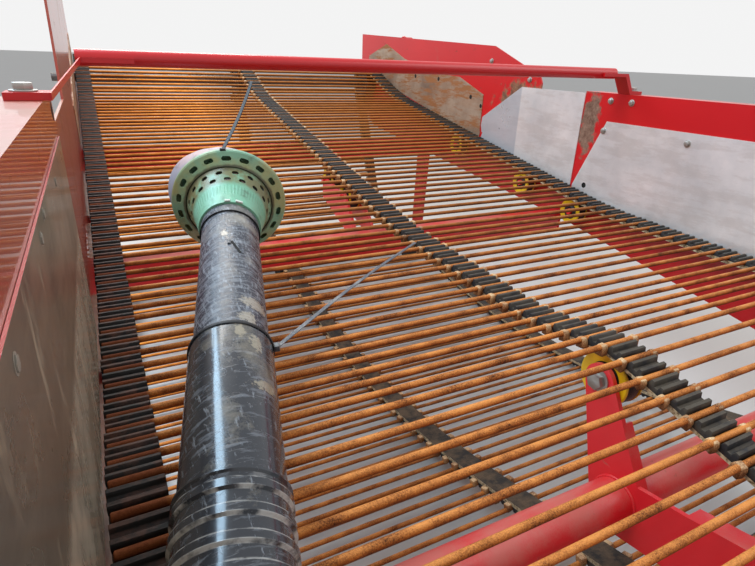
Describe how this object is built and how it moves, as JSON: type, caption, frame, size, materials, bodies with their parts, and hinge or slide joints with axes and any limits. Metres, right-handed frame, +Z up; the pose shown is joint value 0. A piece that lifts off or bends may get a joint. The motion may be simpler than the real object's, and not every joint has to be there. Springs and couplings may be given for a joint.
{
  "type": "potato harvester sieving web unit",
  "caption": "Endless rod web on cleated belts between side walls, with rollers, an agitator, a guard bar and a guarded drive shaft stowed on it.",
  "frame": {"origin": "centre of the left pivot bore at its outer face", "axes": "+Y to the rear, up the web; +X to the right; +Z up"},
  "size_m": [1.704, 3.595, 1.2662],
  "materials": {
    "red_paint": "gloss paint, scratched and dusty",
    "galvanised": "galvanised sheet",
    "worn_plate": "worn and rust-stained sheet",
    "polished_liner": "polished by the crop, brown film",
    "rusty_steel": "surface rust",
    "zinc_steel": "zinc plated",
    "dark_steel": "oiled steel",
    "belt_rubber": "dusty rubber",
    "yellow_plastic": "moulded plastic",
    "guard_plastic": "scuffed plastic",
    "green_plastic": "moulded plastic, soiled inside",
    "grey_plastic": "moulded plastic, soiled",
    "drive_steel": "greasy forged steel"
  },
  "bodies": {
    "root": {"left_wall": "red_paint", "left_liner": "polished_liner", "left_rear_wall": "red_paint", "left_wear_plate": "worn_plate", "right_wall": "red_paint", "right_liner": "galvanised", "right_guide_plate": "galvanised", "right_rear_wall": "red_paint", "right_wear_plate": "worn_plate", "left_pivot_boss": "red_paint", "right_pivot_boss": "red_paint", "guard_bar": "red_paint", "front_beam": "red_paint", "mid_beam": "red_paint", "rear_beam": "red_paint", "left_roller_bracket": "red_paint", "mid_roller_bracket": "red_paint", "right_roller_bracket": "red_paint", "left_support_rollers": "yellow_plastic", "mid_support_rollers": "yellow_plastic", "right_support_rollers": "yellow_plastic", "nose_axle": "dark_steel", "nose_rollers": "belt_rubber", "front_return_axle": "dark_steel", "rear_return_axle": "dark_steel", "return_rollers": "belt_rubber", "return_hangers": "red_paint", "drive_axle": "dark_steel", "drive_cogs": "belt_rubber", "drive_bearings": "zinc_steel", "web_rods": "rusty_steel", "left_belt": "belt_rubber", "mid_belt": "belt_rubber", "right_belt": "belt_rubber", "shaker_bearings": "zinc_steel"},
    "agitator": {"shaker_frame": "red_paint", "shaker_rollers": "yellow_plastic"},
    "outer_guard": {"outer_guard": "guard_plastic", "guard_collar": "guard_plastic"},
    "inner_guard": {"inner_guard": "guard_plastic", "guard_cone": "green_plastic"},
    "front_shaft": {"front_tube": "red_paint", "front_yoke": "drive_steel", "front_fork": "drive_steel"},
    "rear_shaft": {"rear_yoke": "drive_steel"},
    "rear_end": {"rear_fork": "drive_steel", "guard_cup": "grey_plastic"}
  },
  "joints": [
    {"name": "agitator_swing", "type": "hinge", "parent": "root", "child": "agitator", "pos_m": [0.802, -2.188, -0.72], "axis": [-1, 0, 0], "range_deg": [0, 12]},
    {"name": "shaft_lift", "type": "slide", "parent": "root", "child": "outer_guard", "axis": [0, 0, 1], "range_m": [0, 0.04]},
    {"name": "shaft_telescope", "type": "slide", "parent": "outer_guard", "child": "inner_guard", "axis": [0.2226, 0.9564, 0.1894], "range_m": [-0.08, 0.12]},
    {"name": "front_shaft_spin", "type": "hinge", "parent": "outer_guard", "child": "front_shaft", "pos_m": [0.144, -2.279, -0.44737], "axis": [0.2226, 0.9564, 0.1894], "continuous": true},
    {"name": "rear_shaft_spin", "type": "hinge", "parent": "inner_guard", "child": "rear_shaft", "pos_m": [0.29979, -1.60955, -0.31482], "axis": [0.2226, 0.9564, 0.1894], "continuous": true},
    {"name": "rear_fork_swing", "type": "hinge", "parent": "rear_shaft", "child": "rear_end", "pos_m": [0.31047, -1.56365, -0.30573], "axis": [-0.6335, -0.0058, 0.7738], "range_deg": [-70, 0]}
  ],
  "couplings": [
    {"joint": "rear_shaft_spin", "follows": "front_shaft_spin", "ratio": 1}
  ]
}
